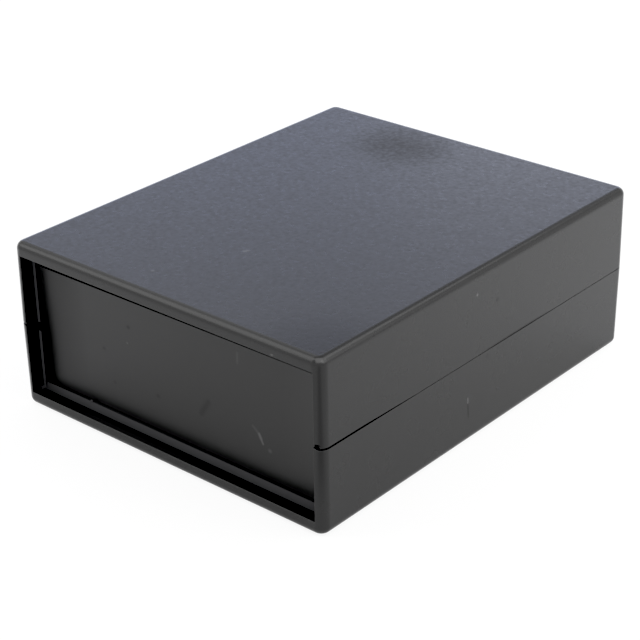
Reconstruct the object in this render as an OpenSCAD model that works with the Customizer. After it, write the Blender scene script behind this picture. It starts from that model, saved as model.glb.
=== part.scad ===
// Two-part moulded enclosure for electronics.
// A lower and an upper half shell meet at a lap joint at mid height. Flat end panels stand in slots behind
// the front and rear bezels, and four screws driven up from the underside hold the shells together.
// The origin is the centre of the underside, +Z is up, and the front bezel faces -Y. Sizes are millimetres.

/* [Case] */
// Width across the side walls at the parting line
body_w = 110; // [95:1:160]
// Depth from the front edge to the rear edge at the parting line
body_d = 136; // [115:1:200]
// Height of the closed case
body_h = 50; // [45:1:80]
// Height of the parting line above the underside
seam_z = 25; // [20:0.5:30]
// Radius of the upright corners
corner_r = 3; // [2.6:0.1:5]
// Radius of the edges round the roof and round the underside
edge_r = 2.2; // [1:0.1:2.5]
// Lean of the outer walls in degrees, with the widest section at the parting line
draft = 0.4; // [0:0.1:1]
// Height of the upright land along each half's rim
rim_land = 1; // [0.2:0.1:2]
// Thickness of the side walls at the parting line
side_t = 2; // [1.7:0.1:2.6]
// Thickness of the floor and of the roof
plate_t = 3; // [2:0.1:3.7]

/* [Bezels] */
// Width of the bezel edge at the side walls
bezel_side = 2.85; // [2.7:0.05:4]
// Height of the bezel edge at the floor and at the roof
bezel_plate = 4; // [3.8:0.1:6]
// Thickness of the bezel edge, front to back
bezel_t = 2; // [1.5:0.1:3]

/* [Panel slots] */
// Distance from the case's end to the outer rib of the slot
slot_set_back = 5; // [3.5:0.1:12]
// Thickness of each rib
rib_t = 1.5; // [1:0.1:2.5]
// Height of the ribs on the floor and on the roof
rib_plate_h = 2.2; // [1.5:0.05:4]
// How much thinner the ribs on the floor and on the roof are at their tops than at their feet
rib_taper = 0.5; // [0:0.05:0.8]
// Height of the ribs on the side walls
rib_side_h = 1.1; // [0.8:0.05:2]
// Distance from the ends of the side ribs to the parting line
rib_seam_gap = 1.3; // [0.5:0.1:4]
// Thickness of the end panels
panel_t = 2; // [1.5:0.1:3]
// Play of a panel between the two ribs of its slot
panel_play = 0.3; // [0.1:0.05:0.5]
// Play of a panel at each upright edge and at its top edge
panel_edge_play = 0.3; // [0.1:0.05:0.6]
// Depth of the step on a panel's outer side, below its thinner top edge
panel_step_t = 1; // [0.3:0.1:1.4]
// Height of a panel's thinner top edge
panel_step_h = 6; // [1:0.1:10]
// Radius of the panels' corners
panel_corner_r = 1; // [0.3:0.1:3]

/* [Lap joint] */
// Height of the lower shell's tongue
tongue_h = 1; // [0.6:0.1:2]
// Width of the upper shell's rim outside the tongue
rim_w = 1.1; // [0.8:0.05:1.3]
// Play of the tongue at its side
tongue_side_play = 0.1; // [0.05:0.01:0.2]
// Play of the tongue at its top
tongue_top_play = 0.2; // [0.1:0.05:0.5]
// Distance from the tongue's ends to the case's ends
tongue_end_gap = 1; // [0.6:0.1:1.4]
// Opening of the seam at the front end of the case
seam_gap_front = 0.55; // [0.1:0.05:0.8]
// Opening of the seam along the rest of the case
seam_gap = 0.1; // [0.05:0.05:0.4]
// Length of the wide opening behind the front edge
seam_gap_l = 16; // [0:1:40]
// Length over which the wide opening closes
seam_taper_l = 22; // [5:1:60]

/* [Case screws] */
// Thread diameter of a screw
screw_d = 3; // [2.5:0.1:3.5]
// Length of a screw below its head
screw_l = 16; // [12:1:20]
// Length of a screw's point
screw_point_l = 2.5; // [1:0.1:3]
// Diameter of a screw's head
head_d = 5.6; // [5:0.1:7]
// Height of a screw's head
head_h = 2.2; // [1.6:0.1:3]
// Width of the cross recess in the head
recess_w = 0.8; // [0.5:0.1:1.2]
// Span of the cross recess in the head
recess_l = 3; // [2:0.1:4]
// Depth of the cross recess in the head
recess_depth = 1.2; // [0.6:0.1:1.4]
// Radial play of a screw in the lower shell's tower
screw_play = 0.2; // [0.1:0.05:0.4]
// Radial play of a screw's thread in the upper shell's boss
thread_play = 0.05; // [0.02:0.01:0.1]
// Radial play of a head in its access hole
head_play = 0.4; // [0.2:0.1:0.8]
// Length of the tower's bore between the head's seat and the parting line
tower_bore_l = 8; // [4:0.5:12]
// Wall round the access hole in a tower
tower_wall = 1.3; // [1:0.1:2.5]
// Wall round the thread in a boss
boss_wall = 2.4; // [1.5:0.1:3]
// Room in a boss past the screw's point
boss_tip_room = 2; // [0.5:0.5:5]
// Distance from a tower to the side wall and to the panel slot
tower_gap = 1.5; // [0.5:0.1:6]
// Thickness of the webs that tie towers and bosses to the side walls
web_t = 1.6; // [1:0.1:3]
// Distance from the webs' ends to the parting line
web_seam_gap = 3; // [2:0.5:8]

/* [Board posts] */
// Distance between the posts across the case
post_pitch_x = 70; // [40:1:74]
// Distance between the posts along the case
post_pitch_y = 80; // [40:1:84]
// Diameter of a post
post_d = 6; // [5:0.1:8]
// Height of a post above the floor
post_h = 5; // [3:0.5:10]
// Diameter of the hole in a post
post_bore_d = 2.5; // [2:0.1:3]
// Depth of the hole in a post
post_bore_l = 5; // [3:0.5:6]

/* [Hidden] */

// Colours
shell_colour = [0.23, 0.235, 0.245];
panel_colour = [0.19, 0.19, 0.195];
screw_colour = [0.62, 0.62, 0.6];

// Roundness of curved surfaces, and of the corners of the drafted outer form
$fn = 48;
form_fn = 32;
// Reach of cutting shapes past what they cut, and of joined shapes into each other
over = 1;
bite = 0.5;

// Case
half_w = body_w / 2;
half_d = body_d / 2;
upper_h = body_h - seam_z;
inner_w = body_w - 2 * side_t;
inner_d = body_d - 2 * bezel_t;
opening_w = body_w - 2 * bezel_side;

// Panel slots, measured from the case's end
slot_w = panel_t + panel_play;
slot_start = slot_set_back + rib_t;
slot_end = slot_start + slot_w + rib_t;
panel_w = inner_w - 2 * panel_edge_play;
panel_h = body_h - 2 * plate_t - panel_edge_play;
panel_y = half_d - slot_start - slot_w / 2;

// Lap joint
tongue_w = side_t - rim_w - tongue_side_play;
tongue_l = body_d - 2 * tongue_end_gap;
lip_tongue_l = bezel_t - tongue_end_gap;
rebate_h = tongue_h + tongue_top_play;
rebate_w = bezel_side - rim_w + over;

// Case screws
screw_r = screw_d / 2;
head_r = head_d / 2;
bore_r = screw_r + screw_play;
access_r = head_r + head_play;
thread_r = screw_r + thread_play;
tower_r = access_r + tower_wall;
boss_r = thread_r + boss_wall;
tower_x = half_w - side_t - tower_gap - tower_r;
tower_y = half_d - slot_end - tower_gap - tower_r;
head_seat_z = seam_z - tower_bore_l;
boss_bore_l = screw_l - tower_bore_l + boss_tip_room;
web_l = tower_r + tower_gap + bite;
// Radius of the ball whose cap crowns the head, as high as half the head
crown_h = head_h / 2;
crown_r = (head_r * head_r + crown_h * crown_h) / (2 * crown_h);

// Places each child at the four case screws, turned so that +X leads to the nearer side wall
module at_screws() {
    for (side = [-1, 1], end = [-1, 1])
        translate([side * tower_x, end * tower_y, 0])
            rotate([0, 0, side > 0 ? 0 : 180])
                children();
}

// Places each child at the four board posts
module at_posts() {
    for (side = [-1, 1], end = [-1, 1])
        translate([side * post_pitch_x / 2, end * post_pitch_y / 2, 0])
            children();
}

// Ring with a round outer edge, for the corners of the roof and of the underside
module corner_ring() {
    rotate_extrude($fn = form_fn)
        intersection() {
            translate([corner_r - edge_r, 0])
                circle(r = edge_r, $fn = form_fn);
            translate([0, -edge_r])
                square([corner_r, 2 * edge_r]);
        }
}

// Solid outer form of one half, its plate on z = 0 and its rim at height h
module half_form(h) {
    lean = (h - rim_land - edge_r) * tan(draft);
    hull()
        for (side = [-1, 1], end = [-1, 1]) {
            translate([side * (half_w - corner_r), end * (half_d - corner_r), h - rim_land])
                cylinder(r = corner_r, h = rim_land, $fn = form_fn);
            translate([side * (half_w - corner_r - lean), end * (half_d - corner_r - lean), edge_r])
                corner_ring();
        }
}

// Rib that runs up one side wall, across the plate and up the other wall, with its panel side on y = 0.
// The stretch on the plate tapers on the side away from the panel.
module slot_rib(h) {
    rib_h = h - rib_seam_gap - plate_t;
    for (x = [-inner_w / 2 - bite, inner_w / 2 - rib_side_h])
        translate([x, 0, plate_t - bite])
            cube([rib_side_h + bite, rib_t, rib_h + bite]);
    translate([-inner_w / 2 - bite, 0, plate_t])
        rotate([90, 0, 90])
            linear_extrude(inner_w + 2 * bite)
                polygon([
                    [0, -bite],
                    [rib_t, -bite],
                    [rib_t, 0],
                    [rib_t - rib_taper, rib_plate_h],
                    [0, rib_plate_h]
                ]);
}

// Both ribs of the panel slots at the two ends of a half
module slot_ribs(h) {
    for (turn = [0, 180])
        rotate([0, 0, turn]) {
            translate([0, slot_start - half_d, 0])
                mirror([0, 1, 0])
                    slot_rib(h);
            translate([0, slot_start + slot_w - half_d, 0])
                slot_rib(h);
        }
}

// Hollow half shell that both halves share, its plate on z = 0 and its open rim at height h
module half_shell(h) {
    difference() {
        half_form(h);
        translate([-inner_w / 2, -inner_d / 2, plate_t])
            cube([inner_w, inner_d, h]);
        translate([-opening_w / 2, -half_d - over, bezel_plate])
            cube([opening_w, body_d + 2 * over, h]);
    }
    slot_ribs(h);
}

// Web from a tower's or a boss's axis into the side wall
module web(h) {
    translate([0, -web_t / 2, plate_t - bite])
        cube([web_l, web_t, h - web_seam_gap - plate_t + bite]);
}

// Tongue along one side wall of the lower shell, as wide at its ends as the bezel edges it stands on
module tongue() {
    translate([half_w - side_t, -tongue_l / 2, seam_z - bite])
        cube([tongue_w, tongue_l, tongue_h + bite]);
    for (y = [-tongue_l / 2, tongue_l / 2 - lip_tongue_l])
        translate([opening_w / 2, y, seam_z - bite])
            cube([bezel_side - side_t + tongue_w, lip_tongue_l, tongue_h + bite]);
}

// Step in the inside of the upper shell's rim that takes the tongue, right through the bezels
module rebate(h) {
    translate([half_w - rim_w - rebate_w, -half_d - over, h - rebate_h])
        cube([rebate_w, body_d + 2 * over, rebate_h + over]);
}

// Opening of the seam, wide at the front and closing towards the rear
module seam_relief(h) {
    translate([-half_w - over, 0, 0])
        rotate([90, 0, 90])
            linear_extrude(body_w + 2 * over)
                polygon([
                    [-half_d - over, h - seam_gap_front],
                    [-half_d + seam_gap_l, h - seam_gap_front],
                    [-half_d + seam_gap_l + seam_taper_l, h - seam_gap],
                    [half_d + over, h - seam_gap],
                    [half_d + over, h + over],
                    [-half_d - over, h + over]
                ]);
}

// Moulded base with screw towers, board posts and the lap joint's tongues
module lower_shell() {
    color(shell_colour)
        difference() {
            union() {
                half_shell(seam_z);
                tongue();
                mirror([1, 0, 0])
                    tongue();
                at_screws() {
                    translate([0, 0, plate_t - bite])
                        cylinder(r = tower_r, h = seam_z - plate_t + bite);
                    web(seam_z);
                }
                at_posts()
                    translate([0, 0, plate_t - bite])
                        cylinder(d = post_d, h = post_h + bite);
            }
            at_screws() {
                translate([0, 0, -over])
                    cylinder(r = access_r, h = head_seat_z + over);
                cylinder(r = bore_r, h = seam_z + over);
            }
            at_posts()
                translate([0, 0, plate_t + post_h - post_bore_l])
                    cylinder(d = post_bore_d, h = post_bore_l + over);
        }
}

// Moulded cover with screw bosses and the lap joint's rebates
module upper_shell() {
    color(shell_colour)
        translate([0, 0, body_h])
            mirror([0, 0, 1])
                difference() {
                    union() {
                        difference() {
                            half_shell(upper_h);
                            rebate(upper_h);
                            mirror([1, 0, 0])
                                rebate(upper_h);
                            seam_relief(upper_h);
                        }
                        at_screws() {
                            translate([0, 0, plate_t - bite])
                                cylinder(r = boss_r, h = upper_h - plate_t + bite);
                            web(upper_h);
                        }
                    }
                    at_screws()
                        translate([0, 0, upper_h - boss_bore_l])
                            cylinder(r = thread_r, h = boss_bore_l + over);
                }
}

// Outline of a panel, a plate with round corners that stands on y = 0
module panel_outline() {
    translate([-panel_w / 2, panel_corner_r])
        square([panel_w, panel_h - 2 * panel_corner_r]);
    translate([panel_corner_r - panel_w / 2, 0])
        square([panel_w - 2 * panel_corner_r, panel_h]);
    for (side = [-1, 1], y = [panel_corner_r, panel_h - panel_corner_r])
        translate([side * (panel_w / 2 - panel_corner_r), y])
            circle(r = panel_corner_r);
}

// Panel in the middle of the front slot, standing on the floor, with a step below its thinner top edge
module end_panel() {
    translate([0, -panel_y, plate_t])
        difference() {
            translate([0, panel_t / 2, 0])
                rotate([90, 0, 0])
                    linear_extrude(panel_t)
                        panel_outline();
            translate([-panel_w / 2 - over, -panel_t / 2 - over, panel_h - panel_step_h])
                cube([panel_w + 2 * over, panel_step_t + over, panel_step_h + over]);
        }
}

module front_panel() {
    color(panel_colour)
        end_panel();
}

module rear_panel() {
    color(panel_colour)
        rotate([0, 0, 180])
            end_panel();
}

// Pan-head screw with its head down and its seat on z = 0
module case_screw() {
    difference() {
        intersection() {
            translate([0, 0, -head_h])
                cylinder(r = head_r, h = head_h);
            translate([0, 0, crown_r - head_h])
                sphere(r = crown_r);
        }
        for (turn = [0, 90])
            rotate([0, 0, turn])
                translate([-recess_l / 2, -recess_w / 2, -head_h - over])
                    cube([recess_l, recess_w, recess_depth + over]);
    }
    translate([0, 0, -bite])
        cylinder(r = screw_r, h = screw_l - screw_point_l + bite);
    translate([0, 0, screw_l - screw_point_l])
        cylinder(r1 = screw_r, r2 = 0, h = screw_point_l);
}

module case_screws() {
    color(screw_colour)
        at_screws()
            translate([0, 0, head_seat_z])
                case_screw();
}

lower_shell();
upper_shell();
front_panel();
rear_panel();
case_screws();
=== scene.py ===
"""Finishes, rounded edges, screws and studio view of a two-part moulded enclosure."""

import math
from typing import NamedTuple

import bmesh
import bpy
from bpy.props import FloatProperty, FloatVectorProperty, IntProperty, PointerProperty
from mathutils import Matrix, Vector


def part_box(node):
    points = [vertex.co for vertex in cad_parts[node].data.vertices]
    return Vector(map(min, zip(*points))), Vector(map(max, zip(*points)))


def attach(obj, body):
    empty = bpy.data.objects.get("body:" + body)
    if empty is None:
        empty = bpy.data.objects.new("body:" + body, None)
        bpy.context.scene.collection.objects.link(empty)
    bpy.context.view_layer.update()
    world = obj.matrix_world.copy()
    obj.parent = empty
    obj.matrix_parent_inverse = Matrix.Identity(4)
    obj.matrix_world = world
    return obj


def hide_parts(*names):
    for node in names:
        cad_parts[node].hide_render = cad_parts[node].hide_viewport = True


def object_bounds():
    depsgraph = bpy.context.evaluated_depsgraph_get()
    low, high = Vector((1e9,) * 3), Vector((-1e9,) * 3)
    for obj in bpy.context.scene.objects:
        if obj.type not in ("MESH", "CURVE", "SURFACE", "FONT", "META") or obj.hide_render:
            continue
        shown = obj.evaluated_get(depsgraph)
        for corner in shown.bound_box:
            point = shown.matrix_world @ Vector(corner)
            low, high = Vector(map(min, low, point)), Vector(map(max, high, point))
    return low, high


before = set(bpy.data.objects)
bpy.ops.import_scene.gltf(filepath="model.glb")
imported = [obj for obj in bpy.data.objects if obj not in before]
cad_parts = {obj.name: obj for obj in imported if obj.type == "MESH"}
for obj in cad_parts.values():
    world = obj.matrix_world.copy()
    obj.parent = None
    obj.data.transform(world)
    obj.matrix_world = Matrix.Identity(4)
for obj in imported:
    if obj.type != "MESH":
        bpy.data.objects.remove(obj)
CAD_LOW, CAD_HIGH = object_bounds()

bl_info = {
    "name": "Moulded Enclosure",
    "version": (1, 0, 0),
    "blender": (4, 5, 0),
    "location": "View3D > Sidebar > Enclosure",
    "description": "Dresses a two-part moulded enclosure and sets up its studio view",
    "category": "Object",
}

MM = 0.001
BODY = "root"

# Places that the frame gives
END_Y = CAD_HIGH.y
MIDDLE_Z = (CAD_LOW.z + CAD_HIGH.z) / 2
SEAM_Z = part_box("upper_shell")[0].z
PANEL_LOW, PANEL_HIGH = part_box("front_panel")
SCREW_LOW, SCREW_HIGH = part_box("case_screws")

# Limits for joining the loose triangles of a copied solid and for telling its sharp edges
MERGE_DISTANCE = 0.001 * MM
FLAT_ANGLE = math.radians(0.2)
SHARP_ANGLE = math.radians(40)
SMOOTH_ANGLE = math.radians(35)

# Limits for telling level faces, upright edges and faces that look towards an end, where 1 is exact
LEVEL = 0.9999
UPRIGHT = 0.9
FACING_OUT = 0.5

# How near an edge or a face lies that counts as part of a lip, a rim, the underside or the skin
LIP_BAND = 0.5 * MM
RIM_BAND = 1.5 * MM
RIM_WIDTH = 2.9 * MM
PLATE_BAND = 0.1 * MM
SKIN_BAND = 3.2 * MM

# Where the bezels, the floor and the slots' ribs lie
LIP_X = CAD_HIGH.x - 2.75 * MM
BEZEL_BACK_Y = END_Y - 2 * MM
FLOOR_Z = CAD_LOW.z + 3 * MM
RIB_FOOT_X = CAD_HIGH.x - 2 * MM
RIB_FRONT_Y = END_Y - 5 * MM
RIB_REACH = 1.3 * MM
RIB_PLAY = 0.03 * MM
RIB_SPANS = ((END_Y - 11 * MM, END_Y - 8 * MM), (END_Y - 7 * MM, END_Y - 4 * MM))
RIB_END_LOW = 1 * MM
RIB_END_HIGH = 1.6 * MM

# How the seam runs across the right bezels: distance from the middle, and rises of its two edges
LOWER_EDGE, UPPER_EDGE = range(2)
SEAM_CLIMB = (
    (CAD_HIGH.x - 3 * MM, 0.65 * MM, 0.35 * MM),
    (CAD_HIGH.x - 2.4 * MM, 0.5 * MM, 0.45 * MM),
    (CAD_HIGH.x - 1.85 * MM, 0.2 * MM, 0.45 * MM),
    (CAD_HIGH.x - 1.33 * MM, 0.0, 0.43 * MM),
    (CAD_HIGH.x - 1.15 * MM, 0.0, 0.1 * MM),
    (CAD_HIGH.x - 0.9 * MM, 0.0, 0.0),
)
LEFT_SEAM_RISES = (0.0, -0.6 * MM)
CLIMB_BAND = 0.2 * MM
TONGUE_Y = END_Y - 1 * MM
UPPER_LIP_RISE = 1.2 * MM

# Order of a shell's finishes in its material slots
WALL_FINISH, ROOF_FINISH, INNER_FINISH, RIB_PAINTED_LIGHT_FINISH = range(4)

# Small forms at each corner of the lower shell, from one corner to the opposite one, and their finish
SHOULDER = (
    (LIP_X, BEZEL_BACK_Y + 0.6 * MM, SEAM_Z - 0.15 * MM),
    (RIB_FOOT_X, BEZEL_BACK_Y + 0.05 * MM, SEAM_Z + 0.9 * MM),
    INNER_FINISH,
)
RAIL_RIDGE = (
    (RIB_FOOT_X, RIB_FRONT_Y + 1.1 * MM, FLOOR_Z),
    (RIB_FOOT_X - 0.35 * MM, RIB_FRONT_Y, FLOOR_Z + 0.9 * MM),
    RIB_PAINTED_LIGHT_FINISH,
)
NOTCH_BACK = (
    (LIP_X - 0.08 * MM, BEZEL_BACK_Y + 1.5 * MM, SEAM_Z - 0.1 * MM),
    (LIP_X + 0.2 * MM, BEZEL_BACK_Y + 0.2 * MM, SEAM_Z + 1.7 * MM),
    INNER_FINISH,
)
CORNER_FORMS = (SHOULDER, RAIL_RIDGE, NOTCH_BACK)


class Surface(NamedTuple):
    """How a finish varies over a face."""

    drift: float  # width of the slow drift in its tone
    tones: tuple  # shares of its colour between which it goes
    swing: float  # how far its roughness goes up and down
    grain: float = 1 * MM  # width of its grain


WALL_SURFACE = Surface(drift=14 * MM, tones=(0.9, 1.1), swing=0.015, grain=1.2 * MM)
ROOF_SURFACE = Surface(drift=25 * MM, tones=(0.7, 1.4), swing=0.1)
INNER_SURFACE = Surface(drift=10 * MM, tones=(0.8, 1), swing=0.02)
RIB_SURFACE = Surface(drift=6 * MM, tones=(0.9, 1.1), swing=0.05)
PANEL_SURFACE = Surface(drift=8 * MM, tones=(0.9, 1.1), swing=0.02)
STEEL_SURFACE = Surface(drift=1.5 * MM, tones=(0.85, 1.1), swing=0.075)
FINE_GRAIN_DEPTH = 0.002 * MM
INNER_SPECULAR = 0.25

# Values between which a noise mostly stays, and its detail in the grain and in the drift
NOISE_LOW, NOISE_HIGH = 0.25, 0.75
GRAIN_DETAIL, DRIFT_DETAIL = 2, 3

# Colour of scuffs and specks, and places of marks on the side walls in millimetres
SCUFF_COLOUR = (0.35, 0.35, 0.35)
WALL_LEAN = 0.15
SEAM_MARK_Z = 25.25
SEAM_MARK_HALF_WIDTH = 0.6

# How much paler the side ribs are painted than the rails, as painted light where the bezels shade them,
# and where their faces begin
SIDE_RIB_PAINTED_LIGHT = 1.75
SIDE_RIB_LOW = PANEL_HIGH.x - 0.9 * MM
SIDE_RIB_HIGH = PANEL_HIGH.x - 0.7 * MM

# Facets of the nub and of a screw's parts
NUB_SEGMENTS, NUB_RINGS = 24, 12
HEAD_SIDES, CROWN_RINGS, SHANK_SIDES = 48, 64, 32
TURN_POINTS, RIDGE_SIDES = 24, 4

# Heights between which the surround turns into the ceiling, from 0 at the horizon to 1 overhead
SURROUND_END, CEILING_START = 0.36, 0.54

# Dark strip before the case that only its reflections show, as painted shadow: half widths, and distances
# from the middle
STRIP_CORE, STRIP_EDGE = 8 * MM, 33 * MM
STRIP_START, STRIP_FULL = 94 * MM, 126 * MM
FLOOR_ROUGHNESS = 0.9

# Width of the camera's sensor in millimetres
SENSOR_WIDTH = 36

# Power of a light of one square metre with a radiance of 1
LIGHT_POWER = 4


class Softbox(NamedTuple):
    """Oblong light that faces the case."""

    name: str
    azimuth: float  # degrees round the case, from the front
    elevation: float  # degrees above the horizon
    size: tuple  # width and height in metres
    radiance: float
    distance: float = 1.1  # metres from the case
    colour: tuple = (1, 1, 1)
    lights_floor: bool = True


LIGHTS = (
    Softbox("Key softbox", azimuth=-52, elevation=43, size=(0.6, 0.75), radiance=1.5),
    Softbox("Left softbox", azimuth=-108, elevation=50, size=(0.8, 0.5), radiance=0.45),
    Softbox("Side softbox", azimuth=105, elevation=38, size=(1, 0.7), radiance=1.4),
    Softbox("Edge softbox", azimuth=149, elevation=50, size=(0.5, 0.45), radiance=1.4),
    Softbox("Top softbox", azimuth=48, elevation=64, size=(1.3, 1.3), radiance=1.9, lights_floor=False),
    Softbox(
        "Sky softbox", azimuth=-142, elevation=13, size=(1.3, 0.7), radiance=0.41,
        distance=1.2, colour=(0.05, 0.25, 1)),
    Softbox("Rear softbox", azimuth=-158, elevation=12, size=(0.6, 0.45), radiance=0.53, distance=1.2),
)


class ShellSettings(bpy.types.PropertyGroup):
    """Edges and finish of the two half shells"""

    lip_edge_r: FloatProperty(
        name="Lip Edge",
        description="Rounding of the bezels' front edges",
        default=0.3 * MM,
        unit="LENGTH",
    )
    rim_edge_r: FloatProperty(
        name="Rim Edge",
        description="Rounding of the rims at the seam",
        default=0.12 * MM,
        unit="LENGTH",
    )
    hole_edge_r: FloatProperty(
        name="Hole Edge",
        description="Rounding of the screw holes in the underside",
        default=0.3 * MM,
        unit="LENGTH",
    )
    edge_segments: IntProperty(
        name="Edge Segments",
        description="Facets across each rounding",
        default=4,
        min=1,
    )
    colour: FloatVectorProperty(
        name="Colour",
        description="Colour of the moulded plastic",
        default=(0.003, 0.003, 0.0032),
        subtype="COLOR",
    )
    wall_roughness: FloatProperty(
        name="Wall Roughness",
        description="Roughness of the satin walls and edges",
        default=0.27,
        subtype="FACTOR",
    )
    roof_roughness: FloatProperty(
        name="Roof Roughness",
        description="Roughness of the grained roof and underside",
        default=0.34,
        subtype="FACTOR",
    )
    inner_roughness: FloatProperty(
        name="Inner Roughness",
        description="Roughness of the smooth inside, with the bezels' inner edges",
        default=0.2,
        subtype="FACTOR",
    )
    rib_drop: FloatProperty(
        name="Rib Drop",
        description="How far the gap in the side ribs lies below the middle of the seam",
        default=2.2 * MM,
        unit="LENGTH",
    )
    # The ribs' outer faces are painted paler than the rest of the inside: painted light.
    rib_colour: FloatVectorProperty(
        name="Rib Colour",
        description="Colour of the ribs' rubbed outer faces",
        default=(0.028, 0.028, 0.03),
        subtype="COLOR",
    )
    rib_roughness: FloatProperty(
        name="Rib Roughness",
        description="Roughness of the ribs' rubbed outer faces",
        default=0.8,
        subtype="FACTOR",
    )
    nub_r: FloatProperty(
        name="Nub Radius",
        description="Radius of the nub on the front rail",
        default=0.45 * MM,
        unit="LENGTH",
    )
    nub_place: FloatVectorProperty(
        name="Nub Place",
        description="Middle of the nub on the front rail",
        default=(-33.8 * MM, 5.65 * MM - END_Y, 5.2 * MM),
        subtype="TRANSLATION",
    )
    grain_size: FloatProperty(
        name="Grain Size",
        description="Width of one pit of the grain on the roof",
        default=1.2 * MM,
        unit="LENGTH",
    )
    grain_depth: FloatProperty(
        name="Grain Depth",
        description="Depth of the grain on the roof",
        default=0.015 * MM,
        unit="LENGTH",
    )


class PanelSettings(bpy.types.PropertyGroup):
    """Edges and finish of the two end panels"""

    edge_r: FloatProperty(
        name="Edge",
        description="Rounding of the panels' edges",
        default=0.08 * MM,
        unit="LENGTH",
    )
    edge_segments: IntProperty(
        name="Edge Segments",
        description="Facets across each rounding",
        default=3,
        min=1,
    )
    colour: FloatVectorProperty(
        name="Colour",
        description="Colour of the panels' plastic",
        default=(0.003, 0.003, 0.003),
        subtype="COLOR",
    )
    roughness: FloatProperty(
        name="Roughness",
        description="Roughness of the panels' satin face",
        default=0.3,
        subtype="FACTOR",
    )
    bend_reach: FloatProperty(
        name="Bend Reach",
        description="How far in from its foot and its right end a panel's sheen bends",
        default=16 * MM,
        unit="LENGTH",
    )
    bend_rise: FloatProperty(
        name="Bend Rise",
        description="Rise of the curve that the sheen follows at the foot and the right end",
        default=1 * MM,
        unit="LENGTH",
    )
    left_reach: FloatProperty(
        name="Left Bend Reach",
        description="How far in from its left end a panel's sheen bends",
        default=18 * MM,
        unit="LENGTH",
    )
    left_foot_rise: FloatProperty(
        name="Left Bend at Foot",
        description="Rise of the curve that the sheen follows at the left end, at the foot",
        default=1.4 * MM,
        unit="LENGTH",
    )
    left_top_rise: FloatProperty(
        name="Left Bend at Top",
        description="Rise of the curve that the sheen follows at the left end, at the top",
        default=3.2 * MM,
        unit="LENGTH",
    )
    step_lean: FloatProperty(
        name="Step Lean",
        description="How much higher the front panel's step lies at its right end than at its left end",
        default=0.55 * MM,
        unit="LENGTH",
    )
    step_rise: FloatProperty(
        name="Step Rise",
        description="How much higher the front panel's step lies at its left end",
        default=0.045 * MM,
        unit="LENGTH",
    )


class ScrewSettings(bpy.types.PropertyGroup):
    """Sizes and finish of the case screws"""

    head_d: FloatProperty(
        name="Head Diameter",
        description="Diameter of the pan head",
        default=5.6 * MM,
        unit="LENGTH",
    )
    head_h: FloatProperty(
        name="Head Height",
        description="Height of the pan head",
        default=2.2 * MM,
        unit="LENGTH",
    )
    thread_d: FloatProperty(
        name="Thread Diameter",
        description="Diameter over the thread",
        default=3 * MM,
        unit="LENGTH",
    )
    core_d: FloatProperty(
        name="Core Diameter",
        description="Diameter at the bottom of the thread",
        default=2.3 * MM,
        unit="LENGTH",
    )
    pitch: FloatProperty(
        name="Pitch",
        description="Distance between two turns of the thread",
        default=1.1 * MM,
        unit="LENGTH",
    )
    point_l: FloatProperty(
        name="Point Length",
        description="Length of the tapered point",
        default=2.5 * MM,
        unit="LENGTH",
    )
    recess_l: FloatProperty(
        name="Recess Span",
        description="Span of the cross recess",
        default=3 * MM,
        unit="LENGTH",
    )
    recess_w: FloatProperty(
        name="Recess Width",
        description="Width of each slot of the cross recess",
        default=0.8 * MM,
        unit="LENGTH",
    )
    recess_depth: FloatProperty(
        name="Recess Depth",
        description="Depth of the cross recess",
        default=1.2 * MM,
        unit="LENGTH",
    )
    seed: IntProperty(
        name="Seed",
        description="Start of the random turn of each screw",
        default=3,
    )
    colour: FloatVectorProperty(
        name="Colour",
        description="Colour of the plated steel",
        default=(0.55, 0.55, 0.53),
        subtype="COLOR",
    )
    roughness: FloatProperty(
        name="Roughness",
        description="Roughness of the plated steel",
        default=0.325,
        subtype="FACTOR",
    )


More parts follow.
